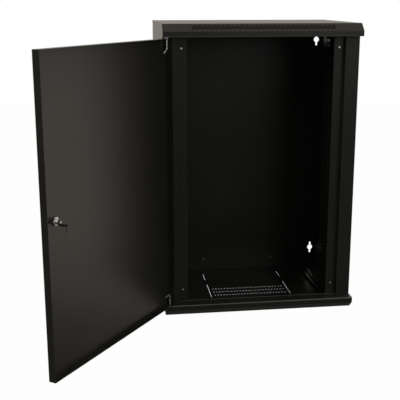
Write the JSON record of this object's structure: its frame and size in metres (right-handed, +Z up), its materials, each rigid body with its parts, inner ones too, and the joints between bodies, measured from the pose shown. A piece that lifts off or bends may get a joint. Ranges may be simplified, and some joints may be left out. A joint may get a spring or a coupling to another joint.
{
  "type": "wall mount network cabinet",
  "caption": "Wall-hung sheet-steel rack cabinet with hinged front door, cam lock, depth-adjustable square-hole rails and keyholed back.",
  "frame": {"origin": "middle of the wall face: the back panel's outer face at the centre of the four keyholes", "axes": "+Y points out of the back into the wall, so the door side faces -Y; +Z is up; +X is to the right seen from the front"},
  "size_m": [0.9318, 0.928, 0.901],
  "materials": {
    "black_powder_coat": "satin black powder coat",
    "zinc_plate": "bright zinc plate",
    "lock_chrome": "satin chrome"
  },
  "bodies": {
    "cabinet": {"roof_panel": "black_powder_coat", "floor_panel": "black_powder_coat", "side_panel_right": "black_powder_coat", "side_panel_left": "black_powder_coat", "back_panel": "black_powder_coat", "front_upright_right": "black_powder_coat", "front_upright_left": "black_powder_coat", "corner_bracket_top_right": "black_powder_coat", "corner_bracket_bottom_right": "black_powder_coat", "corner_bracket_top_left": "black_powder_coat", "corner_bracket_bottom_left": "black_powder_coat", "depth_channel_top_right": "black_powder_coat", "depth_channel_bottom_right": "black_powder_coat", "depth_channel_top_left": "black_powder_coat", "depth_channel_bottom_left": "black_powder_coat", "upright_screws": "zinc_plate", "back_panel_screws": "zinc_plate", "bracket_foot_screws": "zinc_plate"},
    "rail_right": {"equipment_rail_right": "black_powder_coat", "rail_bolts_right": "zinc_plate", "rail_slide_nut_top_right": "zinc_plate", "rail_slide_nut_bottom_right": "zinc_plate"},
    "rail_left": {"equipment_rail_left": "black_powder_coat", "rail_bolts_left": "zinc_plate", "rail_slide_nut_top_left": "zinc_plate", "rail_slide_nut_bottom_left": "zinc_plate"},
    "door": {"door_panel": "black_powder_coat", "hinge_guide_top": "black_powder_coat", "hinge_guide_bottom": "black_powder_coat", "hinge_washer_top": "zinc_plate", "hinge_washer_bottom": "zinc_plate", "lock_body": "lock_chrome", "lock_nut": "zinc_plate"},
    "hinge_pin_upper": {"hinge_pin_top": "zinc_plate"},
    "hinge_pin_lower": {"hinge_pin_bottom": "zinc_plate"},
    "lock": {"lock_plug": "lock_chrome", "lock_cam": "black_powder_coat", "lock_cam_screw": "zinc_plate"}
  },
  "joints": [
    {"name": "door_hinge", "type": "hinge", "parent": "cabinet", "child": "door", "pos_m": [-0.288, -0.4416, 0], "axis": [0, 0, 1], "range_deg": [-50, 125.15]},
    {"name": "lock_turn", "type": "hinge", "parent": "door", "child": "lock", "pos_m": [-0.58181, -0.88598, -0.006], "axis": [-0.8176, 0.5757, 0], "range_deg": [0, 90]},
    {"name": "hinge_pin_top_slide", "type": "slide", "parent": "door", "child": "hinge_pin_upper", "axis": [0, 0, 1], "range_m": [-0.0075, 0]},
    {"name": "hinge_pin_bottom_slide", "type": "slide", "parent": "door", "child": "hinge_pin_lower", "axis": [0, 0, 1], "range_m": [0, 0.0075]},
    {"name": "rail_right_slide", "type": "slide", "parent": "cabinet", "child": "rail_right", "axis": [0, 1, 0], "range_m": [-0.065, 0.2]},
    {"name": "rail_left_slide", "type": "slide", "parent": "cabinet", "child": "rail_left", "axis": [0, 1, 0], "range_m": [-0.065, 0.2]}
  ]
}
